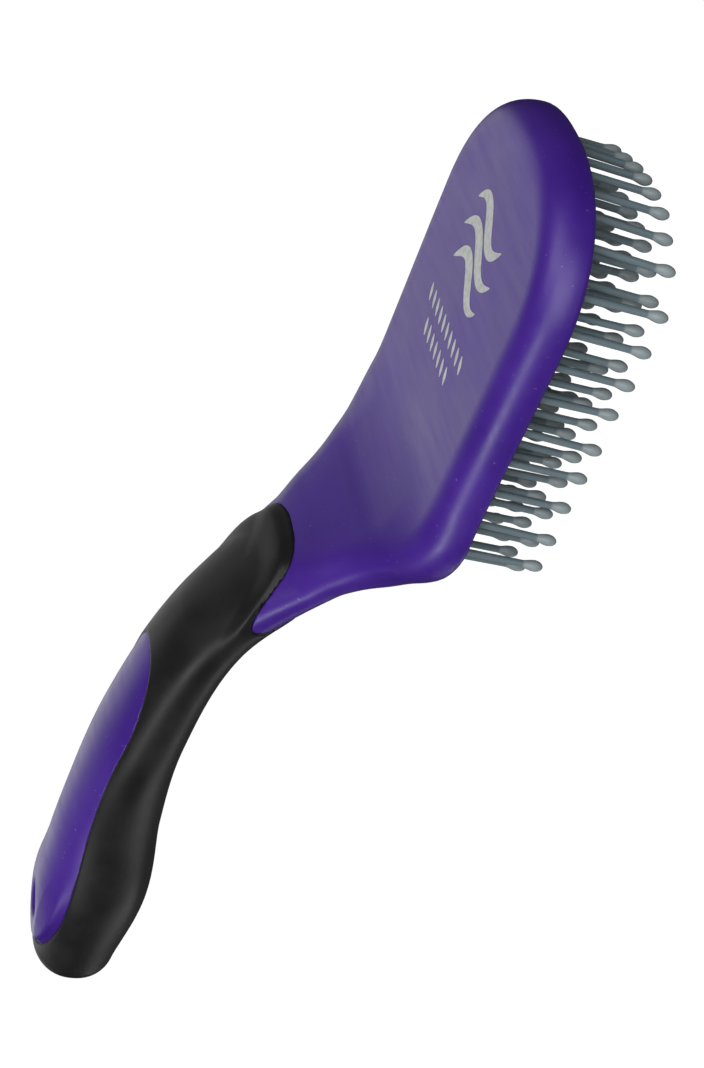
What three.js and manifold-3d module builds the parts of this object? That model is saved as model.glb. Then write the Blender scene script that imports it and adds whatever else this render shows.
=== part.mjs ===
// Mane and tail brush: a paddle head with ball-tipped pins in a rubber bed, on a cranked handle with a
// rubber grip. Millimetres. X runs along the brush towards the tip of the head, Y across it, and +Z is its
// back. The origin is the middle of the flat back of the head, so the pins point down.
import * as THREE from "three";
import { mergeVertices } from "three/addons/utils/BufferGeometryUtils.js";
import Module from "manifold-3d";

const wasm = await Module();
wasm.setup();

// Head
const HEAD_LENGTH = 90;
const HEAD_HALF_WIDTH = 35;
const NECK_END_HALF_WIDTH = 34.3;
const HEAD_THICKNESS = 8.6;
const TIP_LENGTH = 29.5;
const TIP_POWER = 2.3;
const NECK_CORNER_RADIUS = 15.4;
const RIM_RADIUS = 7.5;
const RIM_FOOT_BEVEL = 0.6;
const TIP_X = HEAD_LENGTH / 2;
const NECK_END_X = -HEAD_LENGTH / 2;

// Tray in the head, open below: its floor, the groove that holds the bed and the lip under the groove
const TRAY_FLOOR_Z = -2.6;
const TRAY_FLOOR_INSET = 3.8;
const GROOVE_INSET = 2.4;
const GROOVE_TOP_Z = -4.4;
const GROOVE_BOTTOM_Z = -5.9;
const LIP_INSET = 3.2;
const FIT_GAP = 0.3;
const STEP_HEIGHT = 0.01;
const TRAY_CUT_DEPTH = 1;

// Rubber bed that the pins stand in
const BED_TOP_Z = GROOVE_TOP_Z - FIT_GAP;
const BED_FACE_Z = -7.8;
const BED_CROWN = 1.2;
const BED_CROWN_EDGE = 3;
const BED_CROWN_INSET = 9;
const PIN_HOLE_DIAMETER = 2.2;

// Pins, in strips that run along the brush: each strip's rail lies between the tray's floor and the bed
const STRIPS = 11;
const STRIP_PITCH = 5.6;
const PIN_PITCH = 7.4;
const FIELD_MARGIN = 5.2;
const PIN_DIAMETER = 1.5;
const BULB_DIAMETER = 2.4;
const BULB_LENGTH = 4.6;
const BULB_NOSE_LENGTH = 0.55;
const BULB_NOSE_RATIO = 0.85;
const BULB_WIDEST_FROM_TIP = 1.85;
const PIN_ROOT_DEPTH = 0.5;
const PIN_TIP_Z = -27.6;
const PIN_SPLAY = 0.05;
const PIN_SETBACK = 1.2;
const PIN_UNEVENNESS = 0.35;
const UNEVEN_TURN = 2.4;
const UNEVEN_TURN_PER_STRIP = 12;
const UNEVEN_SIDE_RATE = 1.7;
const RAIL_WIDTH = 1.8;
const RAIL_OVERHANG = 0.9;
const RAIL_TOP_Z = TRAY_FLOOR_Z - FIT_GAP;
const RAIL_BOTTOM_Z = BED_TOP_Z + FIT_GAP;

// Handle: centre line, and half width, half thickness and roundness of its section, at the same stations
const SPINE = new THREE.CatmullRomCurve3([
  new THREE.Vector3(-26, 0, -4.6),
  new THREE.Vector3(-39, 0, -4.2),
  new THREE.Vector3(-52, 0, 5),
  new THREE.Vector3(-84, 0, 23.5),
  new THREE.Vector3(-116, 0, 29.8),
  new THREE.Vector3(-144, 0, 30.1),
  new THREE.Vector3(-166.5, 0, 28.3),
  new THREE.Vector3(-190, 0, 27.3),
]);
const SECTIONS = new THREE.CatmullRomCurve3([
  new THREE.Vector3(30, 3.9, 5),
  new THREE.Vector3(27.6, 4.2, 4.5),
  new THREE.Vector3(21, 4.5, 3),
  new THREE.Vector3(13.4, 7.7, 2.3),
  new THREE.Vector3(14.2, 9.5, 2.2),
  new THREE.Vector3(12.8, 11.6, 2.2),
  new THREE.Vector3(14.8, 13.1, 2.2),
  new THREE.Vector3(12.2, 10.1, 2.2),
]);
const END_CAP_LENGTH = 8;
const END_CAP_FRACTIONS = [0.3, 0.6, 0.85, 0.98];
const STATIONS = SPINE.points.length - 1;

// Rubber grip: it starts with a tongue on the top and the underside, and further back on the sides
const GRIP_WALL = 2.2;
const GRIP_FRONT_MIDDLE = 2.1 / STATIONS;
const GRIP_FRONT_SIDE = 2.7 / STATIONS;
const GRIP_FRONT_POWER = 1.7;
const GRIP_FRONT_SCALES = [0.25, 0.5, 0.75, 0.9, 1];
const FRONT_CLEARANCE = 0.016 / STATIONS;
const CORE_START = 1.7 / STATIONS;
const NECK_END = 2.8 / STATIONS;

// Window in the top of the grip, through which the moulding shows: it spans an angle either side of the top
const WINDOW_FRONT = 3.36 / STATIONS;
const WINDOW_BACK = 6.9 / STATIONS;
const WINDOW_HALF_ANGLE = 0.95;
const WINDOW_FRONT_LENGTH = 0.72 / STATIONS;
const WINDOW_BACK_LENGTH = 0.55 / STATIONS;
const WINDOW_POWER = 2.2;
const WINDOW_GAP_ANGLE = 0.035;
const WINDOW_GAP_LENGTH = 0.015 / STATIONS;

// Hole to hang the brush up by
const HOLE_X = -178.5;
const HOLE_DIAMETER = 8;

// Facets
const SECTION_SIDES = 32;
const RINGS_PER_STATION = 4;
const GRIP_RINGS = 17;
const TIP_STEPS = 18;
const CORNER_STEPS = 5;
const RIM_STEPS = 4;
const WINDOW_SIDES = 12;
const WINDOW_END_RINGS = 7;
const PIN_SIDES = 6;
const HOLE_SIDES = 24;

// Cutting shapes: how far they reach, as a scale about the handle's centre line or in millimetres
const WINDOW_CUT_INNER = 0.4;
const WINDOW_CUT_OUTER = 1.3;
const GRIP_CUT_SCALE = 1.25;
const HOLE_CUT_LENGTH = 80;
const PIN_HOLE_CUT_LENGTH = 12;

const TAU = 2 * Math.PI;

// Closed lofted surface through rings with equal numbers of points, with both ends closed by a fan.
function loft(rings) {
  const count = rings[0].length;
  const points = rings.flat();
  const triangles = [];
  for (let ring = 0; ring + 1 < rings.length; ring++) {
    for (let i = 0; i < count; i++) {
      const next = (i + 1) % count;
      const a = ring * count + i;
      const b = ring * count + next;
      triangles.push(a, b, b + count, a, b + count, a + count);
    }
  }
  for (const [ring, flip] of [[0, true], [rings.length - 1, false]]) {
    const middle = new THREE.Vector3();
    rings[ring].forEach((point) => middle.add(point));
    points.push(middle.divideScalar(count));
    const apex = points.length - 1;
    for (let i = 0; i < count; i++) {
      const a = ring * count + i;
      const b = ring * count + ((i + 1) % count);
      triangles.push(...(flip ? [b, a, apex] : [a, b, apex]));
    }
  }
  return new THREE.BufferGeometry().setFromPoints(points).setIndex(triangles);
}

// manifold-3d solid of a closed three.js geometry, with its faces turned outwards.
function solid(geometry) {
  geometry.deleteAttribute("normal");
  geometry.deleteAttribute("uv");
  const merged = mergeVertices(geometry, 1e-4);
  const vertProperties = merged.attributes.position.array;
  const make = (triVerts) => new wasm.Manifold(new wasm.Mesh({ numProp: 3, vertProperties, triVerts }));
  const triVerts = new Uint32Array(merged.index.array);
  const made = make(triVerts);
  return made.volume() > 0 ? made : make(triVerts.reverse());
}

// Named three.js mesh of a manifold-3d solid.
function part(name, made, material) {
  const { vertProperties, triVerts } = made.getMesh();
  const geometry = new THREE.BufferGeometry();
  geometry.setAttribute("position", new THREE.BufferAttribute(vertProperties, 3));
  geometry.setIndex(new THREE.BufferAttribute(triVerts, 1));
  geometry.computeVertexNormals();
  const mesh = new THREE.Mesh(geometry, material);
  mesh.name = name;
  return mesh;
}

// Point at an angle on a superellipse, which is an ellipse at power 2 and squarer above it.
function superellipse(angle, halfX, halfY, power) {
  const c = Math.cos(angle);
  const s = Math.sin(angle);
  const x = halfX * Math.sign(c) * Math.abs(c) ** (2 / power);
  const y = halfY * Math.sign(s) * Math.abs(s) ** (2 / power);
  return new THREE.Vector2(x, y);
}

// Plan outline of the head, moved inwards by inset: a round tip, straight sides and two round neck corners.
function headOutline(inset) {
  const points = [];
  for (let i = 0; i <= TIP_STEPS; i++) {
    const angle = Math.PI * (i / TIP_STEPS - 0.5);
    const point = superellipse(angle, TIP_LENGTH - inset, HEAD_HALF_WIDTH - inset, TIP_POWER);
    points.push(point.add(new THREE.Vector2(TIP_X - TIP_LENGTH, 0)));
  }
  const corner = new THREE.Vector2(
    NECK_END_X + NECK_CORNER_RADIUS,
    NECK_END_HALF_WIDTH - NECK_CORNER_RADIUS,
  );
  for (const side of [1, -1]) {
    for (let i = 0; i <= CORNER_STEPS; i++) {
      const turn = side > 0 ? i / CORNER_STEPS : 1 - i / CORNER_STEPS;
      const angle = (Math.PI / 2) * (1 + turn);
      const radius = NECK_CORNER_RADIUS - inset;
      const x = corner.x + radius * Math.cos(angle);
      points.push(new THREE.Vector2(x, side * (corner.y + radius * Math.sin(angle))));
    }
  }
  return points;
}

// Ring of the head's outline at a height.
function headRing(z, inset) {
  return headOutline(inset).map((point) => new THREE.Vector3(point.x, point.y, z));
}

// Outside of the head: a plate with a flat back and a rim that rounds over to the side wall.
function headBlank() {
  const rings = [
    headRing(-HEAD_THICKNESS, RIM_FOOT_BEVEL),
    headRing(-HEAD_THICKNESS + RIM_FOOT_BEVEL, 0),
  ];
  for (let i = 0; i <= RIM_STEPS; i++) {
    const angle = ((Math.PI / 2) * i) / RIM_STEPS;
    rings.push(headRing(RIM_RADIUS * (Math.sin(angle) - 1), RIM_RADIUS * (1 - Math.cos(angle))));
  }
  return solid(loft(rings));
}

// Space inside the tray, which is narrower at the lip than at the groove.
function trayCavity() {
  return solid(
    loft([
      headRing(-HEAD_THICKNESS - TRAY_CUT_DEPTH, LIP_INSET),
      headRing(GROOVE_BOTTOM_Z, LIP_INSET),
      headRing(GROOVE_BOTTOM_Z + STEP_HEIGHT, GROOVE_INSET),
      headRing(GROOVE_TOP_Z, GROOVE_INSET),
      headRing(TRAY_FLOOR_Z, TRAY_FLOOR_INSET),
    ]),
  );
}

// Point of the handle's surface at a station, an angle about its centre line (0 is +Y, a quarter turn is
// the top) and a scale about the centre line, moved inwards by inset.
function handlePoint(station, angle, scale = 1, inset = 0) {
  const centre = SPINE.getPoint(station);
  const tangent = SPINE.getTangent(station);
  const up = new THREE.Vector3(tangent.z, 0, -tangent.x);
  const size = SECTIONS.getPoint(station);
  const offset = superellipse(angle, size.x - inset, size.y - inset, size.z).multiplyScalar(scale);
  return new THREE.Vector3(0, offset.x, 0).addScaledVector(up, offset.y).add(centre);
}

function handleRing(pointAt) {
  return Array.from({ length: SECTION_SIDES }, (_, i) => pointAt((TAU * i) / SECTION_SIDES));
}

// Rings of the rounded end of the handle.
function endRings(scale, inset) {
  const tangent = SPINE.getTangent(1);
  return END_CAP_FRACTIONS.map((fraction) => {
    const turn = (Math.PI / 2) * fraction;
    const shift = (END_CAP_LENGTH - inset) * Math.sin(turn);
    return handleRing((angle) =>
      handlePoint(1, angle, scale * Math.cos(turn), inset).addScaledVector(tangent, shift),
    );
  });
}

// Length of the handle between two stations, with the rounded end where it reaches the last one.
function handleBlank(start, end = 1, inset = 0) {
  const rings = [];
  const steps = Math.round((end - start) * STATIONS * RINGS_PER_STATION);
  for (let i = 0; i <= steps; i++) {
    const station = start + ((end - start) * i) / steps;
    rings.push(handleRing((angle) => handlePoint(station, angle, 1, inset)));
  }
  return solid(loft([...rings, ...(end === 1 ? endRings(1, inset) : [])]));
}

// Station at which the grip starts, by the angle about the centre line and the scale about it.
function gripFront(angle, scale = 1) {
  const towardsMiddle = Math.abs(Math.sin(angle)) ** GRIP_FRONT_POWER * Math.min(1, scale);
  return THREE.MathUtils.lerp(GRIP_FRONT_SIDE, GRIP_FRONT_MIDDLE, towardsMiddle);
}

// All of the handle behind the grip's front edge; scale and advance make the larger copy that clears it.
function gripBlank(scale, advance) {
  const scales = GRIP_FRONT_SCALES.concat(scale > 1 ? [scale] : []);
  const rings = scales.map((ringScale) =>
    handleRing((angle) => handlePoint(gripFront(angle, ringScale) - advance, angle, ringScale)),
  );
  for (let i = 1; i <= GRIP_RINGS; i++) {
    rings.push(
      handleRing((angle) => {
        const front = gripFront(angle) - advance;
        return handlePoint(front + ((1 - front) * i) / GRIP_RINGS, angle, scale);
      }),
    );
  }
  return solid(loft([...rings, ...endRings(scale, 0)]));
}

// Ring of the window's cutter at a station: a slab between two scales, spanning an angle about the top.
function windowRing(station, halfAngle) {
  const ring = [];
  for (const [scale, side] of [[WINDOW_CUT_INNER, 1], [WINDOW_CUT_OUTER, -1]]) {
    for (let i = 0; i <= WINDOW_SIDES; i++) {
      const angle = Math.PI / 2 + side * halfAngle * (1 - (2 * i) / WINDOW_SIDES);
      ring.push(handlePoint(station, angle, scale));
    }
  }
  return ring;
}

// Cutter with the window's outline, which is round at both ends; the smaller copy leaves a gap all round.
function windowCutter(smaller) {
  const halfAngle = WINDOW_HALF_ANGLE - (smaller ? WINDOW_GAP_ANGLE : 0);
  const gap = smaller ? WINDOW_GAP_LENGTH : 0;
  const frontEnd = WINDOW_FRONT + WINDOW_FRONT_LENGTH;
  const backEnd = WINDOW_BACK - WINDOW_BACK_LENGTH;
  const rings = [];
  for (let i = 0; i < WINDOW_END_RINGS; i++) {
    const turn = ((Math.PI / 2) * (i + 0.5)) / WINDOW_END_RINGS;
    const point = superellipse(turn, WINDOW_FRONT_LENGTH - gap, halfAngle, WINDOW_POWER);
    rings.push(windowRing(frontEnd - point.x, point.y));
  }
  const steps = Math.round((backEnd - frontEnd) * STATIONS * RINGS_PER_STATION);
  for (let i = 0; i <= steps; i++) {
    rings.push(windowRing(frontEnd + ((backEnd - frontEnd) * i) / steps, halfAngle));
  }
  for (let i = 0; i < WINDOW_END_RINGS; i++) {
    const turn = (Math.PI / 2) * (1 - (i + 0.5) / WINDOW_END_RINGS);
    const point = superellipse(turn, WINDOW_BACK_LENGTH - gap, halfAngle, WINDOW_POWER);
    rings.push(windowRing(backEnd + point.x, point.y));
  }
  return solid(loft(rings));
}

// Upright cylinder through the handle for the hanging hole.
function holeCylinder(diameter) {
  const cylinder = new THREE.CylinderGeometry(diameter / 2, diameter / 2, HOLE_CUT_LENGTH, HOLE_SIDES);
  return solid(cylinder.rotateX(Math.PI / 2).translate(HOLE_X, 0, SPINE.getPoint(1).z));
}

// Moulding: head tray, neck, and the core of the handle with the island that fills the window.
function paddleBody() {
  const neck = handleBlank(0, NECK_END);
  const core = handleBlank(CORE_START, 1, GRIP_WALL + FIT_GAP);
  const island = handleBlank(CORE_START).intersect(windowCutter(true));
  return neck
    .subtract(gripBlank(GRIP_CUT_SCALE, FRONT_CLEARANCE))
    .add(headBlank())
    .subtract(trayCavity())
    .add(core)
    .add(island)
    .subtract(holeCylinder(HOLE_DIAMETER));
}

// Rubber sleeve over the core, with the window and the hanging hole.
function handleGrip() {
  return gripBlank(1, 0)
    .subtract(handleBlank(CORE_START, 1, GRIP_WALL))
    .subtract(windowCutter(false))
    .subtract(holeCylinder(HOLE_DIAMETER));
}

// Where the pin field, which keeps a margin inside the head's outline, ends at a distance from the middle.
function fieldEnds(y) {
  const away = Math.abs(y);
  const halfWidth = HEAD_HALF_WIDTH - FIELD_MARGIN;
  const tipReach = (1 - (away / halfWidth) ** TIP_POWER) ** (1 / TIP_POWER);
  const last = TIP_X - TIP_LENGTH + (TIP_LENGTH - FIELD_MARGIN) * tipReach;
  const radius = NECK_CORNER_RADIUS - FIELD_MARGIN;
  const offset = Math.max(0, away - (NECK_END_HALF_WIDTH - NECK_CORNER_RADIUS));
  const first = NECK_END_X + NECK_CORNER_RADIUS - Math.sqrt(radius ** 2 - offset ** 2);
  return { first, last };
}

// Places of one strip's pins, evenly spaced from one end of the pin field to the other.
function pinPlaces(strip) {
  const y = (strip - (STRIPS - 1) / 2) * STRIP_PITCH;
  const { first, last } = fieldEnds(y);
  const gaps = Math.round((last - first) / PIN_PITCH);
  return Array.from({ length: gaps + 1 }, (_, i) => {
    return new THREE.Vector3(first + ((last - first) * i) / gaps, y, 0);
  });
}

// Shift of a pin from root to tip: pins splay to the sides, lean back near the head's tip and are uneven.
function pinLean(place, strip, index) {
  const angle = UNEVEN_TURN * index + UNEVEN_TURN_PER_STRIP * strip;
  const uneven = new THREE.Vector2(Math.cos(angle), Math.sin(UNEVEN_SIDE_RATE * angle));
  uneven.multiplyScalar(PIN_UNEVENNESS);
  const back = -PIN_SETBACK * THREE.MathUtils.smoothstep(place.x, TIP_X - TIP_LENGTH, TIP_X);
  return uneven.add(new THREE.Vector2(back, PIN_SPLAY * place.y));
}

// One pin: a straight shank that swells into a long bulb with a round end.
function pinSolid(place, lean) {
  const shank = PIN_DIAMETER / 2;
  const bulb = BULB_DIAMETER / 2;
  const rootZ = RAIL_BOTTOM_Z + PIN_ROOT_DEPTH;
  const profile = [
    new THREE.Vector2(0, PIN_TIP_Z),
    new THREE.Vector2(bulb * BULB_NOSE_RATIO, PIN_TIP_Z + BULB_NOSE_LENGTH),
    new THREE.Vector2(bulb, PIN_TIP_Z + BULB_WIDEST_FROM_TIP),
    new THREE.Vector2(shank, PIN_TIP_Z + BULB_LENGTH),
    new THREE.Vector2(shank, rootZ),
    new THREE.Vector2(0, rootZ),
  ];
  const pin = new THREE.LatheGeometry(profile, PIN_SIDES).rotateX(Math.PI / 2);
  const drop = rootZ - PIN_TIP_Z;
  const shear = new THREE.Matrix4().set(
    1, 0, -lean.x / drop, place.x + (lean.x * rootZ) / drop,
    0, 1, -lean.y / drop, place.y + (lean.y * rootZ) / drop,
    0, 0, 1, 0,
    0, 0, 0, 1,
  );
  return solid(pin.applyMatrix4(shear));
}

// One strip of pins on its rail.
function pinStrip(strip) {
  const places = pinPlaces(strip);
  const first = places[0];
  const last = places[places.length - 1];
  const rail = new THREE.BoxGeometry(
    last.x - first.x + 2 * RAIL_OVERHANG,
    RAIL_WIDTH,
    RAIL_TOP_Z - RAIL_BOTTOM_Z,
  );
  rail.translate((first.x + last.x) / 2, first.y, (RAIL_TOP_Z + RAIL_BOTTOM_Z) / 2);
  const pins = places.map((place, index) => pinSolid(place, pinLean(place, strip, index)));
  return wasm.Manifold.union([solid(rail), ...pins]);
}

// Rubber bed: a flange in the tray's groove, a crowned face below the lip and a hole for each pin.
function pinBed() {
  const flangeInset = GROOVE_INSET + FIT_GAP;
  const plugInset = LIP_INSET + FIT_GAP;
  const flangeBottom = GROOVE_BOTTOM_Z + FIT_GAP;
  const pad = solid(
    loft([
      headRing(BED_FACE_Z - BED_CROWN, plugInset + BED_CROWN_INSET),
      headRing(BED_FACE_Z - BED_CROWN / 2, plugInset + BED_CROWN_EDGE),
      headRing(BED_FACE_Z, plugInset),
      headRing(flangeBottom - STEP_HEIGHT, plugInset),
      headRing(flangeBottom, flangeInset),
      headRing(BED_TOP_Z, flangeInset),
    ]),
  );
  const radius = PIN_HOLE_DIAMETER / 2;
  const holes = [];
  for (let strip = 0; strip < STRIPS; strip++) {
    for (const place of pinPlaces(strip)) {
      const hole = new THREE.CylinderGeometry(radius, radius, PIN_HOLE_CUT_LENGTH, PIN_SIDES);
      holes.push(solid(hole.rotateX(Math.PI / 2).translate(place.x, place.y, BED_FACE_Z)));
    }
  }
  return pad.subtract(wasm.Manifold.union(holes));
}

const purplePlastic = new THREE.MeshStandardMaterial({ color: 0x3c1a82, roughness: 0.42, metalness: 0 });
const blackRubber = new THREE.MeshStandardMaterial({ color: 0x1c1c1d, roughness: 0.75, metalness: 0 });
const greyNylon = new THREE.MeshStandardMaterial({ color: 0x6f8088, roughness: 0.5, metalness: 0 });

const group = new THREE.Group();
group.add(part("paddle_body", paddleBody(), purplePlastic));
group.add(part("handle_grip", handleGrip(), blackRubber));
group.add(part("pin_bed", pinBed(), blackRubber));
for (let strip = 0; strip < STRIPS; strip++) {
  const name = "pin_strip_" + String(strip + 1).padStart(2, "0");
  group.add(part(name, pinStrip(strip), greyNylon));
}
export default group;
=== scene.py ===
"""Mane and tail brush: fine surfaces, materials, floor, light and camera around its CAD part.

The shapes are worked out in millimetres in the part's frame: X along the brush to the head's tip,
+Z out of the head's back. The moulding, the grip and the rubber bed are level surfaces of smooth
distance fields, which are negative inside. Everything goes to Blender in metres."""

import itertools
import math

import bpy
import numpy as np
from mathutils import Matrix, Vector


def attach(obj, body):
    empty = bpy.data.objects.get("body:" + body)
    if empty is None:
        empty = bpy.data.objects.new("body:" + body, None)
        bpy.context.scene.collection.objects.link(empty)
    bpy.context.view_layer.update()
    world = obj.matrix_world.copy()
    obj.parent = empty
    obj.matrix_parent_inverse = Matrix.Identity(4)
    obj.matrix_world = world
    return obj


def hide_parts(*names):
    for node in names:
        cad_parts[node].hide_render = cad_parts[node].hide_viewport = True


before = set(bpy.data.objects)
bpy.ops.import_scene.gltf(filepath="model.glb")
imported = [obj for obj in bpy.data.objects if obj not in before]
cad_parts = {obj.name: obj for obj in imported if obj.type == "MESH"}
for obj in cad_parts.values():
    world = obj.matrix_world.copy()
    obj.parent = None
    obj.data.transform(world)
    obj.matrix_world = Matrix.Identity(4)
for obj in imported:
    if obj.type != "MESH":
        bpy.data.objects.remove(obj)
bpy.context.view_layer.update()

MM = 0.001
TAU = 2 * math.pi
FAR_AWAY = 1000.0
SMALL = 1e-9
LEAST_SLOPE = 1e-3

# Sizes below are in millimetres and angles in radians.

# Head
HEAD_HALF_WIDTH = 35
NECK_END_HALF_WIDTH = 34.3
HEAD_THICKNESS = 8.6
TIP_X = 45
NECK_END_X = -45
TIP_LENGTH = 29.5
TIP_POWER = 2.3
TIP_START_X = TIP_X - TIP_LENGTH
CORNER_RADIUS = 15.4
CORNER_X = NECK_END_X + CORNER_RADIUS
CORNER_Y = NECK_END_HALF_WIDTH - CORNER_RADIUS
RIM_RADIUS = 7.5
RIM_POWER = 2.4
FOOT_RADIUS = 0.8
LIP_WIDTH = 3.2
TRAY_FLOOR_Z = -2.6
TRAY_CORNER_RADIUS = 2.4
TIP_SEARCH_START = -300.0
TIP_SEARCH_MARGIN = 0.5
TIP_SEARCH_ROUNDS = 34

# Handle: centre line (x, z) and section (half width, half thickness, power). A station counts
# their points, with fractions between them.
SPINE = [
    (-26, -4.6),
    (-39, -4.2),
    (-52, 5),
    (-84, 23.5),
    (-116, 29.8),
    (-144, 30.1),
    (-166.5, 28.3),
    (-190, 27.3),
]
SECTIONS = [
    (30, 3.9, 5),
    (27.6, 4.2, 4.5),
    (21, 4.5, 3),
    (13.4, 7.7, 2.3),
    (14.2, 9.5, 2.2),
    (12.8, 11.6, 2.2),
    (14.8, 13.1, 2.2),
    (12.2, 10.1, 2.2),
]
END_CAP_LENGTH = 8
END_CAP_STATION = len(SPINE) - 1.5
SPINE_START_STATION = 0.5

# Neck: the head's back bends up, less so at its sides at first, and its foot rises into the handle
BEND_START_X = -22
BEND_END_X = -52
BEND_RISE = 10.4
BEND_SLOPE = 0.7
BEND_SINK = 0.011
BEND_SIDE_START = 0.55
BEND_SIDE_END = 1.25
BEND_SIDE_WIDTH = 30
RISE_START_X = -38
RISE_RATE = 0.04
HEIGHT_TO_DISTANCE = 0.9
NECK_START_X = -30
NECK_SIDE_TO_DISTANCE = 0.88
FOOT_GROWTH_START_X = -30
FOOT_GROWTH_END_X = -48
NECK_FOOT_RADIUS = 3.5
PLAN_BLEND = 9
NARROWING_START_X = -50
NARROWING = 0.05
NECK_BLEND = 4
CORE_DEPTH = 3.5
CORE_RISE_START = 0.9
CORE_RISE_END = 1.7

# Grip. Its front edge, its window and the island in the window are placed by station.
GRIP_FRONT_MIDDLE = 2.24
GRIP_FRONT_SIDE = 2.7
GRIP_FRONT_POWER = 1.7
GRIP_WALL = 2.2
GRIP_CLEARANCE = 0.02
GRIP_RAISE = 0.3
GRIP_EDGE_ROUND = 0.9
HUMP_HEIGHT = 0.7
HUMP_RISE_LENGTH = 4
HUMP_END = 10
HUMP_SIDE_START = -0.3
HUMP_SIDE_END = 0.7
GRIP_LAP = 0.5
GROOVE = 0.15
GROOVE_ROUND = 0.5
WINDOW_FRONT = 3.36
WINDOW_BACK = 6.96
WINDOW_FRONT_LENGTH = 0.72
WINDOW_BACK_LENGTH = 0.85
WINDOW_HALF_ANGLE = 0.95
WINDOW_POWER = 2.2
WINDOW_LEAST_RADIUS = 4
WINDOW_BELLY = 0.11
WINDOW_BELLY_STATION = 5.4
WINDOW_BELLY_LENGTH = 1.3
ISLAND_RAISE = 1.1
ISLAND_FLATTENING = 0.018
ISLAND_FLAT_Y = 8
ISLAND_RAISE_START = 5.5
ISLAND_RAISE_FULL = 6.7
ISLAND_FOOT = 1.0
ISLAND_TOP = -3.0

# Hole to hang the brush up by. Its upper mouth is rounded more than its lower one.
HOLE_X = -178.5
HOLE_RADIUS = 4
HOLE_ROUND = 3.4
HOLE_ROUND_BELOW = 1.4
HOLE_MIDDLE_Z = 28

# Rubber bed
BED_TOP_Z = -4.7
BED_FACE_Z = -7.8
BED_CROWN = 1.2
BED_CROWN_WIDTH = 9
BED_GAP = 0.3
COLLAR_RADIUS = 1.9
COLLAR_HEIGHT = 0.6
COLLAR_TOP_WIDTH = 0.2
BED_EDGE_ROUND = 0.9
PIN_CLEARANCE = 0.05

# Pins
STRIPS = 11
STRIP_PITCH = 5.6
PIN_PITCH = 7.4
FIELD_MARGIN = 5.2
PIN_RADIUS = 0.75
BULB_RADIUS = 1.2
BULB_LENGTH = 4.6
BULB_WIDEST_FROM_TIP = 1.85
PIN_TIP_Z = -27.6
PIN_SPLAY = 0.05
PIN_SETBACK = 1.2
PIN_UNEVENNESS = 0.35
UNEVEN_TURN = 2.4
UNEVEN_TURN_PER_STRIP = 12
UNEVEN_SIDE_RATE = 1.7
RAIL_HALF_WIDTH = 0.9
RAIL_TOP_Z = -2.9
RAIL_BOTTOM_Z = -4.4
PIN_ROOT_Z = RAIL_BOTTOM_Z + 0.5
PIN_SIDES = 14
TIP_RINGS = 7
TIP_FIRST_RING = 0.12
BULB_RINGS = 8
SHANK_RINGS = 4

# Printed mark on the head's back: three strokes of a flowing mane above two rows of slanted dashes.
# Widths are half widths. Each corner is (side of the stroke, height).
PRINT_X = 16
PRINT_HALF_LENGTH = 12
PRINT_HEIGHT = 0.05
PRINT_DEPTH = 0.15
PRINT_STEPS = 43
PRINT_CORNERS = [
    (1, PRINT_HEIGHT),
    (1, -PRINT_DEPTH),
    (-1, -PRINT_DEPTH),
    (-1, PRINT_HEIGHT),
]
STROKE_SPACING = 6
STROKE_SHORTENING = 0.12
STROKE_LEAST_WIDTH = 0.1
STROKE_WIDTH = 1.6
STROKE_TAPER = 0.8
WAVE_HEIGHT = 3.2
WAVE_TURNS = 0.95
WAVE_SHIFT = 0.04
DASH_ROWS = [(-1.4, 10), (-7.0, 7)]
DASH_PITCH = 3.1
DASH_REACH_X = 1.7
DASH_REACH_Y = 0.75
DASH_LEAST_WIDTH = 0.12
DASH_WIDTH = 0.5
DASH_STEP = 6

# Colours, roughnesses (least, most) and how deep the grain stands in metres
PURPLE_DARK = (0.038, 0.0080, 0.195, 1)
PURPLE_LIGHT = (0.050, 0.0110, 0.238, 1)
SPECK_COLOUR = (0.30, 0.26, 0.45, 1)
RUBBER_DARK = (0.0065, 0.0065, 0.0065, 1)
RUBBER_LIGHT = (0.0125, 0.0122, 0.012, 1)
SHANK_COLOUR = (0.130, 0.178, 0.200, 1)
BULB_COLOUR = (0.255, 0.300, 0.315, 1)
INK_DARK = (0.42, 0.43, 0.42, 1)
INK_LIGHT = (0.56, 0.58, 0.56, 1)
FLOOR_COLOUR = (0.25, 0.25, 0.25, 1)
WHITE = (1, 1, 1, 1)
SPECK_STRENGTH = 0.35
PLASTIC_ROUGHNESS = (0.33, 0.40)
PLASTIC_STREAKS = (0, 0.07)
PLASTIC_GRAIN_DEPTH = 0.00002
RUBBER_ROUGHNESS = (0.40, 0.52)
RUBBER_SPECULAR = 0.3
RUBBER_GRAIN_DEPTH = 0.00004
NYLON_ROUGHNESS = (0.36, 0.5)
BULB_FADE = 0.0004
INK_ROUGHNESS = 0.5
INK_METALLIC = 0.25
NOISE_RANGE = (0.3, 0.7)
NOISE_ROUGHNESS = 0.55

# Camera, fitted to the photograph's perspective; places in millimetres
CAMERA_AT = Vector((158.68, -301.63, 129.41))
CAMERA_BACK = Vector((0.54572, -0.77088, 0.32854))
CAMERA_UP = Vector((0.76958, 0.61619, 0.1675))
LENS = 61.59
SENSOR_WIDTH = 36
CLIP_START = 0.01

# Floor and world: both look white to the camera but throw little light on the brush
FLOOR_Z = -700
FLOOR_HALF_SIZE = 30000
FLOOR_ROUGHNESS = 0.9
WORLD_STRENGTH = 0.07

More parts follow.
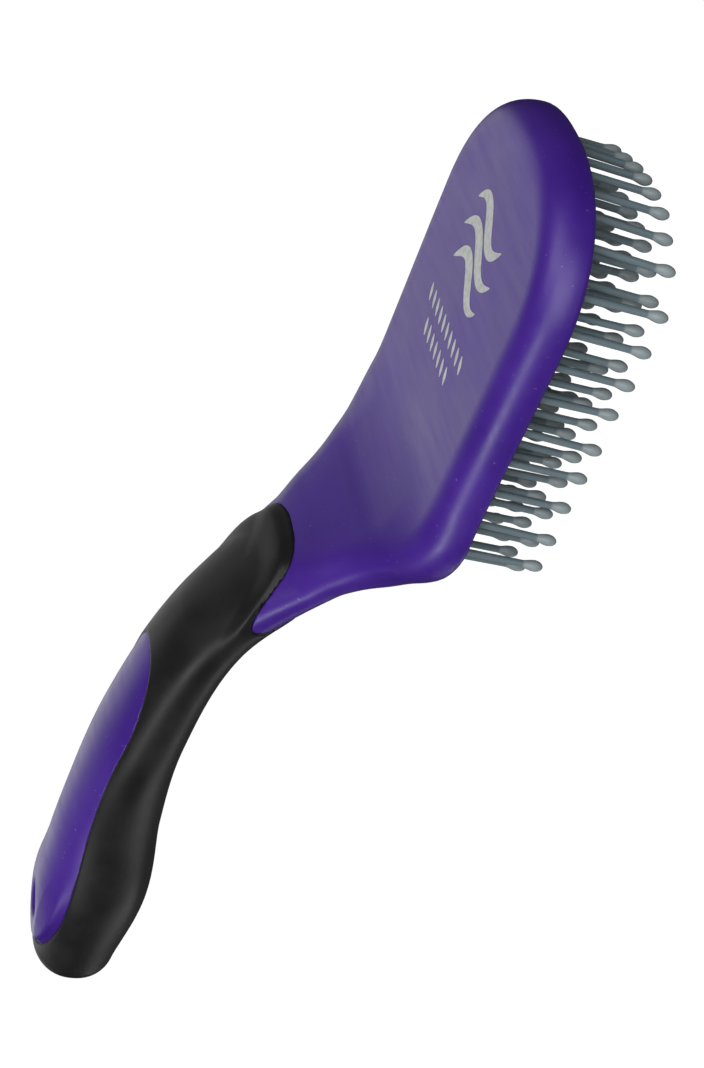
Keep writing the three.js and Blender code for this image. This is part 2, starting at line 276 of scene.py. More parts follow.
# Soft boxes: name, place, aim, width and height in millimetres, power in watts
LIGHTS = [
    ("back_box", (-600, 850, 220), (0, 0, 0), 1400, 440, 1.65),
    ("back_fill", (-980, 560, 560), (-80, 0, 0), 1300, 800, 2.3),
    ("neck_box", (-209, 870, 470), (-56, 0, 0), 420, 320, 0.4),
    ("rim_box", (-402, -600, 400), (-20, 0, 0), 420, 150, 1.8),
    ("low_box", (-595, -196, -401), (-110, 0, 20), 140, 420, 0.55),
    ("front_box", (350, -900, 350), (-40, 0, 0), 900, 900, 8.6),
    ("top_box", (420, -250, 800), (-40, 0, 0), 600, 600, 3.4),
]

# Surfaces: the box each is looked for in, its grid step, and how its points are evened out
BODY_BOX = ((-202, -38, -12), (48, 38, 48))
GRIP_BOX = ((-204, -20, 2), (-44, 20, 50))
BED_BOX = ((-45, -35, -12), (45, 35, -3))
BODY_STEP = 0.7
GRIP_STEP = 0.62
BED_STEP = 0.55
EVEN_ROUNDS = 3
EVEN_SHARE = 0.6


def spline(points, stations):
    """Centripetal Catmull-Rom curve through points, at stations counted in points."""
    points = np.array(points, float)
    ends = [2 * points[0] - points[1], *points, 2 * points[-1] - points[-2]]
    knots = np.array(ends)
    whole = np.clip(stations.astype(int), 0, len(points) - 2)
    t = (stations - whole)[:, None]
    p0, p1, p2, p3 = (knots[whole + i] for i in range(4))
    pairs = ((p0, p1), (p1, p2), (p2, p3))
    d0, d1, d2 = (np.sum((b - a) ** 2, axis=1)[:, None] ** 0.25 for a, b in pairs)
    start = ((p1 - p0) / d0 - (p2 - p0) / (d0 + d1) + (p2 - p1) / d1) * d1
    end = ((p2 - p1) / d1 - (p3 - p1) / (d1 + d2) + (p3 - p2) / d2) * d1
    cubic = 2 * p1 - 2 * p2 + start + end
    square = -3 * p1 + 3 * p2 - 2 * start - end
    return ((cubic * t + square) * t + start) * t + p1


class Handle:
    """The handle's centre line and sections, sampled closely."""

    samples = 1401
    coarse_step = 20
    block_size = 20000
    rounds = 4
    station = np.linspace(0, len(SPINE) - 1, samples)
    centre = spline(SPINE, station)
    section = spline(SECTIONS, station)
    rate = np.gradient(centre, station, axis=0)
    speed = np.hypot(rate[:, 0], rate[:, 1])
    tangent = rate / speed[:, None]

    @classmethod
    def at(cls, values, station):
        """One of the sampled values at a station."""
        return np.interp(station, cls.station, values)

    @classmethod
    def locate(cls, x, z):
        """Nearest station, height above the centre line there, and distance along from there."""
        shape = np.broadcast(x, z).shape
        flat = np.stack([np.broadcast_to(value, shape).ravel() for value in (x, z)], axis=1)
        coarse = slice(0, None, cls.coarse_step)
        found = np.empty(len(flat))
        for first in range(0, len(flat), cls.block_size):
            block = slice(first, first + cls.block_size)
            offsets = flat[block, None, :] - cls.centre[None, coarse, :]
            found[block] = cls.station[coarse][np.argmin((offsets**2).sum(2), axis=1)]
        for _ in range(cls.rounds):
            along, _ = cls.offset(flat, found)
            found = np.clip(found + along / cls.at(cls.speed, found), 0, cls.station[-1])
        along, height = cls.offset(flat, found)
        return found.reshape(shape), height.reshape(shape), along.reshape(shape)

    @classmethod
    def offset(cls, flat, found):
        """How far points are from a station along the centre line, and above it."""
        dx = flat[:, 0] - cls.at(cls.centre[:, 0], found)
        dz = flat[:, 1] - cls.at(cls.centre[:, 1], found)
        tx, tz = cls.at(cls.tangent[:, 0], found), cls.at(cls.tangent[:, 1], found)
        return dx * tx + dz * tz, dx * tz - dz * tx


def smooth_min(a, b, size):
    """Smaller of two distances, with the corner between them filled over size."""
    near = np.maximum(size - np.abs(a - b), 0) / size
    return np.minimum(a, b) - near**2 * size / 4


def smooth_max(a, b, size):
    """Larger of two distances, with the corner between them rounded over size."""
    return -smooth_min(-a, -b, size)


def smooth_step(low, high, value):
    """0 at low and 1 at high, with a level start and end; low may be the larger."""
    t = np.clip((value - low) / (high - low), 0, 1)
    return t * t * (3 - 2 * t)


def plan_inset(x, y):
    """Distance of a point inwards from the head's plan outline."""
    away = np.abs(y)
    widening = smooth_step(CORNER_X, TIP_START_X, x)
    half_width = NECK_END_HALF_WIDTH + (HEAD_HALF_WIDTH - NECK_END_HALF_WIDTH) * widening
    inset = np.minimum(half_width - away, x - NECK_END_X)
    round_corner = CORNER_RADIUS - np.hypot(x - CORNER_X, away - CORNER_Y)
    inset = np.where((x < CORNER_X) & (away > CORNER_Y), round_corner, inset)
    forward = np.maximum(x - TIP_START_X, 0)
    low = np.full(inset.shape, TIP_SEARCH_START)
    high = np.full(inset.shape, TIP_LENGTH - TIP_SEARCH_MARGIN)
    for _ in range(TIP_SEARCH_ROUNDS):
        middle = (low + high) / 2
        reach = (forward / (TIP_LENGTH - middle)) ** TIP_POWER
        reach = reach + (away / (HEAD_HALF_WIDTH - middle)) ** TIP_POWER
        low = np.where(reach < 1, middle, low)
        high = np.where(reach < 1, high, middle)
    return np.where(x > TIP_START_X, (low + high) / 2, inset)


def rounded_edge(side, face, radius, power=2.0):
    """Distance outside a rounded edge, from the distances outside its side wall and its face."""
    a, b = side + radius, face + radius
    reach = (np.maximum(a, 0) ** power + np.maximum(b, 0) ** power) ** (1 / power)
    return reach + np.minimum(np.maximum(a, b), 0) - radius


def neck_outside(x, y):
    """Distance outside the neck's plan outline, which ends inside the head."""
    half_width = np.interp(-x, -Handle.centre[:, 0], Handle.section[:, 0])
    half_width = half_width - NARROWING * np.maximum(NARROWING_START_X - x, 0) ** 2
    beside = (np.abs(y) - half_width) * NECK_SIDE_TO_DISTANCE
    return smooth_max(beside, x - NECK_START_X, PLAN_BLEND)


def head_field(x, y, z):
    """Head, with the root of the neck that bends up from it."""
    outside = smooth_min(-plan_inset(x, y), neck_outside(x, y), PLAN_BLEND)
    bend = np.clip((BEND_START_X - x) / (BEND_START_X - BEND_END_X), 0, 1)
    past = np.maximum(BEND_END_X - x, 0)
    top = BEND_RISE * bend**2 + BEND_SLOPE * past - BEND_SINK * past**2
    sides = smooth_step(BEND_SIDE_START, BEND_SIDE_END, np.abs(y) / BEND_SIDE_WIDTH)
    above = (z - top * (1 - sides * (1 - bend))) * HEIGHT_TO_DISTANCE
    bottom = RISE_RATE * np.maximum(RISE_START_X - x, 0) ** 2 - HEAD_THICKNESS
    growth = smooth_step(FOOT_GROWTH_START_X, FOOT_GROWTH_END_X, x)
    foot_radius = FOOT_RADIUS + (NECK_FOOT_RADIUS - FOOT_RADIUS) * growth
    back = rounded_edge(outside, above, RIM_RADIUS, RIM_POWER)
    foot = rounded_edge(outside, (bottom - z) * HEIGHT_TO_DISTANCE, foot_radius)
    return np.maximum(back, foot)


class Section:
    """Where points lie in the handle's sections."""

    def __init__(self, x, y, z):
        self.station, self.height, self.along = Handle.locate(x, z)
        self.y = y
        self.speed = Handle.at(Handle.speed, self.station)
        self.half_width = Handle.at(Handle.section[:, 0], self.station)
        self.half_height = Handle.at(Handle.section[:, 1], self.station)
        self.power = Handle.at(Handle.section[:, 2], self.station)
        self.side = np.abs(y) / self.half_width
        self.rise = np.abs(self.height) / self.half_height

    def distance(self):
        """Distance outside the handle's surface."""
        power = self.power
        reach = (self.side**power + self.rise**power) ** (1 / power) + SMALL
        slope = reach ** (1 - power) * np.hypot(
            self.side ** (power - 1) / self.half_width,
            self.rise ** (power - 1) / self.half_height,
        )
        past = np.where(self.station > END_CAP_STATION, np.maximum(self.along, 0), 0)
        past = past / END_CAP_LENGTH
        whole = np.hypot(reach, past)
        slope = np.hypot(reach * slope, past / END_CAP_LENGTH) / whole
        found = (whole - 1) / np.maximum(slope, LEAST_SLOPE)
        before = np.where(self.station < SPINE_START_STATION, -self.along, -FAR_AWAY)
        return np.maximum(found, before)

    def angle(self):
        """Angle about the centre line: 0 is +Y and a quarter turn is the top."""
        sideways = np.sign(self.y) * self.side ** (self.power / 2)
        upwards = np.sign(self.height) * self.rise ** (self.power / 2)
        return np.arctan2(upwards, sideways)

    def grip_front(self):
        """Distance in front of the grip's front edge."""
        towards_middle = np.abs(np.sin(self.angle())) ** GRIP_FRONT_POWER
        front = GRIP_FRONT_SIDE + (GRIP_FRONT_MIDDLE - GRIP_FRONT_SIDE) * towards_middle
        return (front - self.station) * self.speed

    def window(self):
        """Distance outside the window's outline."""
        front = WINDOW_FRONT + WINDOW_FRONT_LENGTH - self.station
        back = self.station - WINDOW_BACK + WINDOW_BACK_LENGTH
        length = np.where(front > 0, WINDOW_FRONT_LENGTH, WINDOW_BACK_LENGTH)
        lengthwise = np.maximum(np.maximum(front, back), 0) / length
        turn = np.abs((self.angle() - math.pi / 2 + math.pi) % TAU - math.pi)
        from_belly = (self.station - WINDOW_BELLY_STATION) / WINDOW_BELLY_LENGTH
        belly = np.maximum(1 - from_belly**2, 0) ** 2
        across = turn / (WINDOW_HALF_ANGLE + WINDOW_BELLY * belly)
        reach = (lengthwise**WINDOW_POWER + across**WINDOW_POWER) ** (1 / WINDOW_POWER) + SMALL
        radius = np.maximum(np.hypot(self.y, self.height), WINDOW_LEAST_RADIUS)
        slope = reach ** (1 - WINDOW_POWER) * np.hypot(
            lengthwise ** (WINDOW_POWER - 1) / (length * self.speed),
            across ** (WINDOW_POWER - 1) / (WINDOW_HALF_ANGLE * radius),
        )
        return (reach - 1) / np.maximum(slope, LEAST_SLOPE)


def hole_field(x, y):
    """Distance outside the hanging hole."""
    return np.hypot(x - HOLE_X, y) - HOLE_RADIUS


def outer_field(x, y, z, section, handle):
    """The whole brush but its tray, bed and pins. The handle starts buried in the neck."""
    buried = CORE_DEPTH * (1 - smooth_step(CORE_RISE_START, CORE_RISE_END, section.station))
    return smooth_min(head_field(x, y, z), handle + buried, NECK_BLEND)


def body_field(x, y, z):
    """Moulding: head, neck and core of the handle, with the window's island, tray and hole."""
    section = Section(x, y, z)
    handle = section.distance()
    outer = outer_field(x, y, z, section, handle)
    island = section.window()
    proud = ISLAND_RAISE + ISLAND_FLATTENING * np.minimum(y**2, ISLAND_FLAT_Y**2)
    proud = proud * smooth_step(ISLAND_RAISE_START, ISLAND_RAISE_FULL, section.station)
    outer = outer - proud * smooth_step(ISLAND_FOOT, ISLAND_TOP, island)
    grip = np.maximum(section.grip_front(), np.maximum(-island, -handle - GRIP_WALL))
    cut = smooth_max(outer, -GRIP_LAP - grip, GROOVE_ROUND)
    tray = rounded_edge(LIP_WIDTH - plan_inset(x, y), z - TRAY_FLOOR_Z, TRAY_CORNER_RADIUS)
    cut = smooth_max(cut, -tray, GROOVE_ROUND)
    upper = smooth_step(HOLE_MIDDLE_Z, HOLE_MIDDLE_Z + HOLE_RADIUS, z)
    mouth = HOLE_ROUND_BELOW + (HOLE_ROUND - HOLE_ROUND_BELOW) * upper
    return smooth_max(cut, -hole_field(x, y), mouth)


def grip_field(x, y, z):
    """Grip: a sleeve over the core, a little proud of the neck, with a hump for the thumb."""
    section = Section(x, y, z)
    handle = section.distance()
    behind = -section.grip_front()
    hump = smooth_step(0, HUMP_RISE_LENGTH, behind)
    hump = hump * smooth_step(HUMP_END, HUMP_RISE_LENGTH, behind)
    upwards = np.sin(section.angle())
    hump = HUMP_HEIGHT * hump * smooth_step(HUMP_SIDE_START, HUMP_SIDE_END, upwards)
    outer = outer_field(x, y, z, section, handle) - GRIP_RAISE - hump
    edges = smooth_max(section.grip_front(), -section.window(), GRIP_EDGE_ROUND)
    sleeve = smooth_max(outer, edges, GRIP_EDGE_ROUND)
    sleeve = np.maximum(sleeve, -handle - GRIP_WALL + GRIP_CLEARANCE)
    return smooth_max(sleeve, GROOVE - hole_field(x, y), GROOVE_ROUND)


def bed_field(x, y, z):
    """Rubber bed: crowned, with a low collar and a hole for each pin."""
    inset = plan_inset(x, y) - LIP_WIDTH - BED_GAP
    face = BED_FACE_Z - BED_CROWN * smooth_step(0, BED_CROWN_WIDTH, inset)
    nearest = np.full(np.broadcast(x, y).shape, FAR_AWAY)
    for places in pin_places():
        for place in places:
            nearest = np.minimum(nearest, np.hypot(x - place[0], y - place[1]))
    collar = smooth_step(COLLAR_RADIUS, PIN_RADIUS + COLLAR_TOP_WIDTH, nearest)
    face = face - COLLAR_HEIGHT * collar
    pad = smooth_max(-inset, face - z, BED_EDGE_ROUND)
    return np.maximum(np.maximum(pad, z - BED_TOP_Z), PIN_RADIUS + PIN_CLEARANCE - nearest)


def slope_of(field, points, reach=0.01):
    """Gradient of a field at points."""
    slopes = []
    for axis in range(3):
        ahead, behind = points.copy(), points.copy()
        ahead[:, axis] += reach
        behind[:, axis] -= reach
        slopes.append((field(*ahead.T) - field(*behind.T)) / (2 * reach))
    return np.stack(slopes, axis=1)


def settle(field, points, furthest, rounds=3, least_steepness=0.05):
    """Points moved onto the field's zero surface, by at most furthest in each round."""
    for _ in range(rounds):
        slope = slope_of(field, points)
        steepness = np.maximum((slope**2).sum(1), least_steepness)[:, None]
        move = -field(*points.T)[:, None] * slope / steepness
        length = np.linalg.norm(move, axis=1)[:, None]
        points = points + move * np.minimum(1, furthest / np.maximum(length, SMALL))
    return points


def net_points(value, low, step):
    """One point in each grid cell that the surface crosses, and each cell's number, or -1."""
    corners = [(i, j, k) for i in (0, 1) for j in (0, 1) for k in (0, 1)]
    size = [n - 1 for n in value.shape]
    blocks = [tuple(slice(c, c + n) for c, n in zip(corner, size)) for corner in corners]
    count = sum((value[block] < 0).astype(np.int8) for block in blocks)
    mixed = (count > 0) & (count < 8)
    index = np.full(mixed.shape, -1)
    index[mixed] = np.arange(mixed.sum())
    cells = np.argwhere(mixed)
    values = np.stack([value[block][mixed] for block in blocks], axis=1)
    total = np.zeros((len(cells), 3))
    crossings = np.zeros(len(cells))
    for a, b in itertools.combinations(range(8), 2):
        start, end = np.array(corners[a], float), np.array(corners[b], float)
        if np.abs(end - start).sum() != 1:
            continue
        crosses = (values[:, a] < 0) != (values[:, b] < 0)
        share = values[crosses, a] / (values[crosses, a] - values[crosses, b])
        total[crosses] += start + share[:, None] * (end - start)
        crossings[crosses] += 1
    return (cells + total / crossings[:, None]) * step + np.array(low), index


def net_quads(inside, index):
    """One quad of cell numbers round each grid edge that the surface crosses, facing out."""
    quads = []
    for axis in range(3):
        others = [i for i in range(3) if i != axis]
        near = [slice(1, -1)] * 3
        far = [slice(1, -1)] * 3
        near[axis] = slice(0, -1)
        far[axis] = slice(1, None)
        starts = inside[tuple(near)]
        changes = np.argwhere(starts != inside[tuple(far)])
        leaves = starts[tuple(changes.T)]
        ring = []
        for p, q in ((0, 0), (1, 0), (1, 1), (0, 1)):
            cell = changes.copy()
            cell[:, others[0]] += p
            cell[:, others[1]] += q
            ring.append(index[tuple(cell.T)])
        ring = np.stack(ring, axis=1)
        turned = leaves if axis != 1 else ~leaves
        quads.append(np.where(turned[:, None], ring, ring[:, ::-1]))
    return np.concatenate(quads)


def level_surface(field, low, high, step):
    """Points, quads and normals of a field's zero surface, by surface nets on a grid."""
    axes = [np.arange(a, b + step, step) for a, b in zip(low, high)]
    value = field(*np.ix_(*axes))
    points, index = net_points(value, low, step)
    quads = net_quads(value < 0, index)
    points = settle(field, points, step / 2)
    points = even_out(field, points, quads, step)
    normals = slope_of(field, points)
    normals /= np.maximum(np.linalg.norm(normals, axis=1), SMALL)[:, None]
    return points, quads, normals


def even_out(field, points, quads, step):
    """Points spread evenly over the surface, each drawn towards its neighbours."""
    edges = np.concatenate([quads[:, [i, (i + 1) % 4]] for i in range(4)])
    edges = np.concatenate([edges, edges[:, ::-1]])
    degree = np.bincount(edges[:, 0], minlength=len(points))[:, None]
    for _ in range(EVEN_ROUNDS):
        ends = [points[edges[:, 1], i] for i in range(3)]
        sums = np.stack([np.bincount(edges[:, 0], end, len(points)) for end in ends], axis=1)
        moved = points + EVEN_SHARE * (sums / degree - points)
        points = settle(field, moved, step / 2, rounds=2)
    return points


def add_mesh(name, points, faces, material, normals=None, smooth=True):
    """Object from points in millimetres."""
    mesh = bpy.data.meshes.new(name)
    mesh.from_pydata((np.asarray(points) * MM).tolist(), [], faces)
    if smooth:
        mesh.shade_smooth()
    if normals is not None:
        mesh.normals_split_custom_set_from_vertices(normals.tolist())
    mesh.materials.append(material)
    made = bpy.data.objects.new(name, mesh)
    bpy.context.scene.collection.objects.link(made)
    return made


def add_piece(name, points, faces, material, slot, nodes, normals=None):
    """Object that stands for CAD nodes."""
    made = add_mesh(name, points, faces, material, normals)
    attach(made, "root")
    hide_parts(*nodes)


def add_surface(name, field, box, step, material, slot, nodes):
    """Piece whose surface is a field's zero surface."""
    points, quads, normals = level_surface(field, *box, step)
    add_piece(name, points, quads.tolist(), material, slot, nodes, normals)


def joined(parts):
    """Points and faces of several shapes together."""
    points, faces, start = [], [], 0
    for some, sides in parts:
        points.append(some)
        faces.extend([tuple(i + start for i in face) for face in sides])
        start += len(some)
    return np.concatenate(points), faces


def pin_places():
    """Places of the pins, strip by strip, evenly spaced between the ends of the pin field."""
    strips = []
    for strip in range(STRIPS):
        y = (strip - (STRIPS - 1) / 2) * STRIP_PITCH
        half_width = HEAD_HALF_WIDTH - FIELD_MARGIN
        reach = (1 - (abs(y) / half_width) ** TIP_POWER) ** (1 / TIP_POWER)
        last = TIP_START_X + (TIP_LENGTH - FIELD_MARGIN) * reach
        radius = CORNER_RADIUS - FIELD_MARGIN
        offset = max(0, abs(y) - CORNER_Y)
        first = CORNER_X - math.sqrt(radius**2 - offset**2)
        gaps = round((last - first) / PIN_PITCH)
        strips.append([(first + (last - first) * i / gaps, y) for i in range(gaps + 1)])
    return strips


def pin_lean(x, y, strip, index):
    """Shift of a pin from root to tip."""
    angle = UNEVEN_TURN * index + UNEVEN_TURN_PER_STRIP * strip
    back = PIN_SETBACK * float(smooth_step(TIP_START_X, TIP_X, x))
    side = math.sin(UNEVEN_SIDE_RATE * angle) * PIN_UNEVENNESS + PIN_SPLAY * y
    return np.array([math.cos(angle) * PIN_UNEVENNESS - back, side])


def pin_profile():
    """Radius and height along a pin, from its tip to its root."""
    profile = []
    for turn in np.linspace(TIP_FIRST_RING, 1, TIP_RINGS) * math.pi / 2:
        height = BULB_WIDEST_FROM_TIP * (1 - math.cos(turn))
        profile.append((BULB_RADIUS * math.sin(turn), PIN_TIP_Z + height))
    for share in np.linspace(0, 1, BULB_RINGS + 1)[1:]:
        radius = PIN_RADIUS + (BULB_RADIUS - PIN_RADIUS) * (1 + math.cos(math.pi * share)) / 2
        height = BULB_WIDEST_FROM_TIP + (BULB_LENGTH - BULB_WIDEST_FROM_TIP) * share
        profile.append((radius, PIN_TIP_Z + height))
    for share in np.linspace(0, 1, SHANK_RINGS + 1)[1:]:
        height = (PIN_TIP_Z + BULB_LENGTH) * (1 - share) + PIN_ROOT_Z * share
        profile.append((PIN_RADIUS, height))
    return profile


def pin_mesh(place, lean):
    """Points and faces of one pin."""
    profile = pin_profile()
    points = [(0, 0, PIN_TIP_Z)]
    for radius, height in profile:
        for i in range(PIN_SIDES):
            turn = TAU * i / PIN_SIDES
            points.append((radius * math.cos(turn), radius * math.sin(turn), height))
    points.append((0, 0, PIN_ROOT_Z))
    points = np.array(points)
    share = (PIN_ROOT_Z - points[:, 2]) / (PIN_ROOT_Z - PIN_TIP_Z)
    points[:, :2] += np.array(place) + share[:, None] * lean
    faces = []
    last = len(points) - 1
    for i in range(PIN_SIDES):
        next_i = (i + 1) % PIN_SIDES
        faces.append((0, 1 + next_i, 1 + i))
        for ring in range(len(profile) - 1):
            a = 1 + ring * PIN_SIDES
            b = a + PIN_SIDES
            faces.append((a + i, a + next_i, b + next_i, b + i))
        top = 1 + (len(profile) - 1) * PIN_SIDES
        faces.append((top + i, top + next_i, last))
    return points, faces


def rail_mesh(places):
    """Points and faces of the rail behind one strip of pins."""
    (start, y), end = places[0], places[-1][0]
    ends = (start - RAIL_HALF_WIDTH, end + RAIL_HALF_WIDTH)
    sides = (y - RAIL_HALF_WIDTH, y + RAIL_HALF_WIDTH)
    points = [(x, y, z) for z in (RAIL_BOTTOM_Z, RAIL_TOP_Z) for y in sides for x in ends]
    faces = [(0, 2, 3, 1), (4, 5, 7, 6), (0, 1, 5, 4), (2, 6, 7, 3), (0, 4, 6, 2), (1, 3, 7, 5)]
    return np.array(points), faces


def add_strip(strip, places, material):
    """One strip of pins and the rail behind it."""
    parts = [rail_mesh(places)]
    for index, place in enumerate(places):
        parts.append(pin_mesh(place, pin_lean(*place, strip, index)))
    number = f"{strip + 1:02d}"
    nodes = [f"pin_strip_{number}"]
    add_piece(f"pins_{number}", *joined(parts), material, "grey_nylon", nodes)


def stroke(centre_line, half_width):
    """Points and faces of a flat printed stroke, with its half width along its centre line."""
    line = np.array(centre_line)
    along = np.gradient(line, axis=0)
    across = np.stack([-along[:, 1], along[:, 0]], axis=1) / np.hypot(*along.T)[:, None]
    reach = across * np.asarray(half_width)[:, None]
    count = len(line)
    rows = [np.c_[line + side * reach, np.full(count, z)] for side, z in PRINT_CORNERS]
    faces = [tuple(range(0, 4 * count, count))]
    for i in range(count - 1):
        for row in range(4):
            a, b = row * count + i, (row + 1) % 4 * count + i
            faces.append((a, a + 1, b + 1, b))
    faces.append(tuple(range(4 * count - 1, 0, -count)))
    return np.concatenate(rows), faces


def add_print(material):
    """The printed mark, in strokes that taper to both ends. It stands for no CAD node."""
    share = np.linspace(0, 1, PRINT_STEPS)
    strokes = []
    for level in (-1, 0, 1):
        turn = TAU * (share * WAVE_TURNS + WAVE_SHIFT * level)
        x = PRINT_X + STROKE_SPACING * level + WAVE_HEIGHT * np.sin(turn)
        y = PRINT_HALF_LENGTH * (1 - STROKE_SHORTENING * abs(level)) * (1 - 2 * share)
        taper = np.sin(math.pi * share) ** STROKE_TAPER
        strokes.append(stroke(np.c_[x, y], STROKE_LEAST_WIDTH + STROKE_WIDTH * taper))
    share = share[::DASH_STEP]
    for x, count in DASH_ROWS:
        for i in range(count):
            y = (i - (count - 1) / 2) * DASH_PITCH
            line = np.c_[x + DASH_REACH_X * (1 - 2 * share), y + DASH_REACH_Y * (1 - 2 * share)]
            half_width = DASH_LEAST_WIDTH + DASH_WIDTH * np.sin(math.pi * share)
            strokes.append(stroke(line, half_width))
    made = add_mesh("print", *joined(strokes), material, smooth=False)
    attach(made, "root")


class Nodes:
    """Short way to build a material's nodes."""

    def __init__(self, name, **values):
        """Material with plain values on the shader's own sockets, underscores for spaces."""
        self.material = bpy.data.materials.new(name)
        self.material.use_nodes = True
        self.tree = self.material.node_tree
        self.shader = self.tree.nodes["Principled BSDF"]
        for socket, value in values.items():
            self.shader.inputs[socket.replace("_", " ")].default_value = value
        self.place = self.add("ShaderNodeTexCoord").outputs["Object"]

    def add(self, kind, settings=None, **inputs):
        """Node with its settings, and values or sockets for its inputs."""
        node = self.tree.nodes.new(kind)
        for key, value in (settings or {}).items():
            setattr(node, key, value)
        for key, value in inputs.items():
            self.put(value, node.inputs[key.replace("_", " ")])
        return node

    def put(self, value, socket):
        """Value written to a socket, or a socket linked to it."""
        if isinstance(value, bpy.types.NodeSocket):
            self.tree.links.new(value, socket)
        else:
            socket.default_value = value

    def noise(self, scale, detail, stretch=(1, 1, 1)):
        """Noise with scale in features per metre."""
        placed = self.add("ShaderNodeMapping", Vector=self.place, Scale=stretch).outputs[0]
        settings = {"Scale": scale, "Detail": detail, "Roughness": NOISE_ROUGHNESS}
        return self.add("ShaderNodeTexNoise", Vector=placed, **settings).outputs[0]

    def ramp(self, value, source, target=(0, 1)):
        """Value moved from the source range to the target range and held inside it."""
        node = self.add("ShaderNodeMapRange", Value=value)
        for socket, number in zip(node.inputs[1:5], (*source, *target)):
            socket.default_value = number
        return node.outputs[0]

    def math(self, operation, a, b):
        node = self.add("ShaderNodeMath", {"operation": operation})
        self.put(a, node.inputs[0])
        self.put(b, node.inputs[1])
        return node.outputs[0]

    def mix(self, share, a, b):
        """Colour a where share is 0 and colour b where it is 1."""
        node = self.add("ShaderNodeMix", {"data_type": "RGBA"})
        self.put(share, node.inputs[0])
        self.put(a, node.inputs[6])
        self.put(b, node.inputs[7])
        return node.outputs[2]

    def bump(self, height, distance, strength):
        """Normal bent by a height, which stands for distance in metres."""
        node = self.add("ShaderNodeBump", Height=height, Distance=distance, Strength=strength)
        return node.outputs[0]

    def set(self, socket, value):
        """Value or link on one of the shader's sockets."""
        self.put(value, self.shader.inputs[socket])


def purple_plastic():
    """Moulded polypropylene, half gloss, with fine grain, rubbed patches and pale specks."""
    nodes = Nodes("purple_plastic")
    cloud = nodes.noise(scale=38, detail=4)
    grain = nodes.noise(scale=2600, detail=2)
    colour = nodes.mix(nodes.ramp(cloud, (0.35, 0.65)), PURPLE_DARK, PURPLE_LIGHT)
    speck = nodes.ramp(nodes.noise(scale=1300, detail=1), (0.74, 0.80))
    colour = nodes.mix(nodes.math("MULTIPLY", speck, SPECK_STRENGTH), colour, SPECK_COLOUR)
    nodes.set("Base Color", colour)
    streak = nodes.noise(scale=420, detail=3, stretch=(1, 0.12, 1))
    patches = nodes.ramp(cloud, NOISE_RANGE, PLASTIC_ROUGHNESS)
    streaks = nodes.ramp(streak, NOISE_RANGE, PLASTIC_STREAKS)
    nodes.set("Roughness", nodes.math("ADD", patches, streaks))
    nodes.set("Normal", nodes.bump(grain, PLASTIC_GRAIN_DEPTH, strength=0.5))
    return nodes.material


def black_rubber():
    """Soft black rubber, matt, with faint blotches where it is handled."""
    nodes = Nodes("black_rubber", Specular_IOR_Level=RUBBER_SPECULAR)
    blotch = nodes.noise(scale=75, detail=5)
    grain = nodes.noise(scale=1900, detail=3)
    colour = nodes.mix(nodes.ramp(blotch, (0.42, 0.68)), RUBBER_DARK, RUBBER_LIGHT)
    nodes.set("Base Color", colour)
    nodes.set("Roughness", nodes.ramp(blotch, NOISE_RANGE, RUBBER_ROUGHNESS))
    nodes.set("Normal", nodes.bump(grain, RUBBER_GRAIN_DEPTH, strength=0.6))
    return nodes.material


def grey_nylon():
    """Nylon pins: blue-grey shanks and paler bulbs."""
    nodes = Nodes("grey_nylon")
    height = nodes.add("ShaderNodeSeparateXYZ", Vector=nodes.place).outputs[2]
    bulb_start = (PIN_TIP_Z + BULB_LENGTH) * MM
    share = nodes.ramp(height, (bulb_start - BULB_FADE, bulb_start), (1, 0))
    nodes.set("Base Color", nodes.mix(share, SHANK_COLOUR, BULB_COLOUR))
    wear = nodes.noise(scale=900, detail=3)
    nodes.set("Roughness", nodes.ramp(wear, NOISE_RANGE, NYLON_ROUGHNESS))
    return nodes.material


def silver_print():
    """Silver ink, a little worn."""
    nodes = Nodes("silver_print", Metallic=INK_METALLIC, Roughness=INK_ROUGHNESS)
    wear = nodes.noise(scale=700, detail=4)
    nodes.set("Base Color", nodes.mix(nodes.ramp(wear, (0.3, 0.6)), INK_DARK, INK_LIGHT))
    return nodes.material


def floor_paper():
    """Pale paper that looks white to the camera but throws little light back."""
    nodes = Nodes("floor", Base_Color=FLOOR_COLOUR, Roughness=FLOOR_ROUGHNESS)
    nodes.set("Emission Color", WHITE)
    seen = nodes.add("ShaderNodeLightPath").outputs["Is Camera Ray"]
    nodes.set("Emission Strength", seen)
    return nodes.material


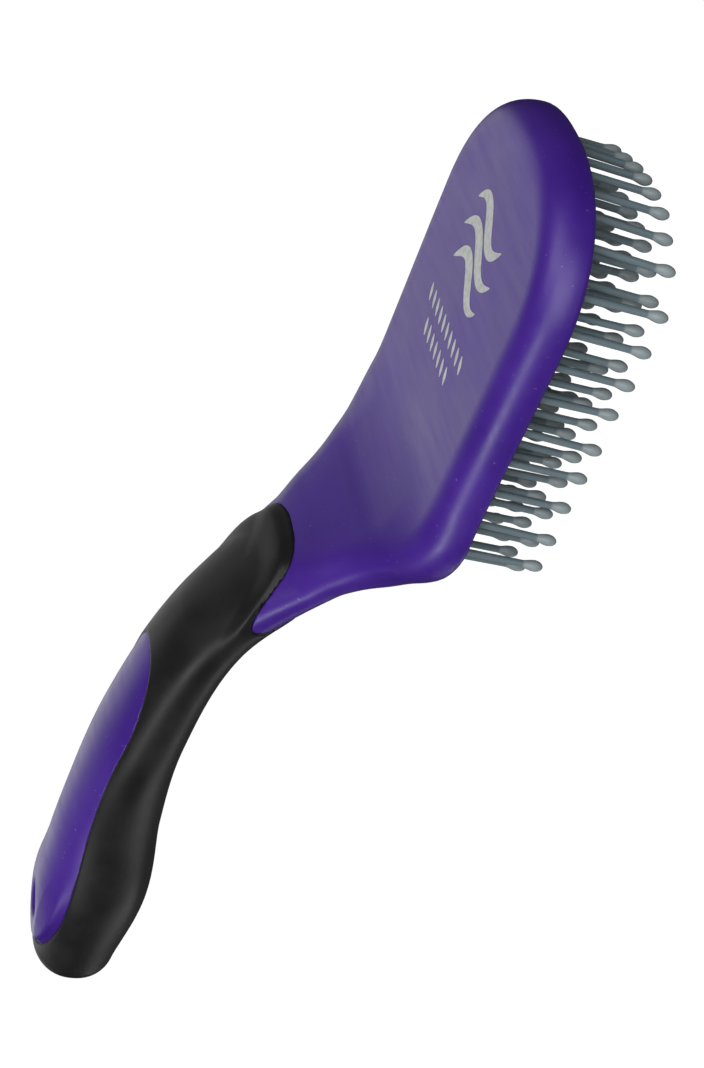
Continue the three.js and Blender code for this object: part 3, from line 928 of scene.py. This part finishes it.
def add_camera():
    """The photograph's camera."""
    scene = bpy.context.scene
    camera = bpy.data.objects.new("camera", bpy.data.cameras.new("camera"))
    scene.collection.objects.link(camera)
    scene.camera = camera
    camera.data.lens = LENS
    camera.data.sensor_width = SENSOR_WIDTH
    camera.data.sensor_fit = "AUTO"
    camera.data.clip_start = CLIP_START
    back = CAMERA_BACK.normalized()
    right = CAMERA_UP.cross(back).normalized()
    turn = Matrix((right, back.cross(right), back)).transposed().to_4x4()
    camera.matrix_world = Matrix.Translation(CAMERA_AT * MM) @ turn


def add_light(name, place, aim, width, height, power):
    """Soft box at a place, turned towards aim."""
    data = bpy.data.lights.new(name, "AREA")
    data.shape = "RECTANGLE"
    data.size, data.size_y = width * MM, height * MM
    data.energy = power
    light = bpy.data.objects.new(name, data)
    light.location = Vector(place) * MM
    light.visible_camera = False
    towards_light = Vector(place) - Vector(aim)
    light.rotation_euler = towards_light.to_track_quat("Z", "Y").to_euler()
    bpy.context.scene.collection.objects.link(light)


def set_world():
    """World that looks white to the camera but throws little light."""
    world = bpy.data.worlds.new("world")
    bpy.context.scene.world = world
    world.use_nodes = True
    tree = world.node_tree
    sky = tree.nodes["Background"]
    sky.inputs["Color"].default_value = WHITE
    strength = tree.nodes.new("ShaderNodeMath")
    strength.operation = "MAXIMUM"
    strength.inputs[1].default_value = WORLD_STRENGTH
    seen = tree.nodes.new("ShaderNodeLightPath").outputs["Is Camera Ray"]
    tree.links.new(seen, strength.inputs[0])
    tree.links.new(strength.outputs[0], sky.inputs["Strength"])


purple, rubber = purple_plastic(), black_rubber()
add_surface(
    "moulding", body_field, BODY_BOX, BODY_STEP, purple, "purple_plastic", ["paddle_body"]
)
add_surface("grip", grip_field, GRIP_BOX, GRIP_STEP, rubber, "black_rubber", ["handle_grip"])
add_surface("bed", bed_field, BED_BOX, BED_STEP, rubber, "black_rubber", ["pin_bed"])
nylon = grey_nylon()
for strip, places in enumerate(pin_places()):
    add_strip(strip, places, nylon)
add_print(silver_print())

add_camera()
around = ((-1, -1), (1, -1), (1, 1), (-1, 1))
corners = [(x * FLOOR_HALF_SIZE, y * FLOOR_HALF_SIZE, FLOOR_Z) for x, y in around]
floor = add_mesh("floor", corners, [(0, 1, 2, 3)], floor_paper())
for light in LIGHTS:
    add_light(*light)
set_world()
bpy.context.scene.view_settings.view_transform = "Standard"
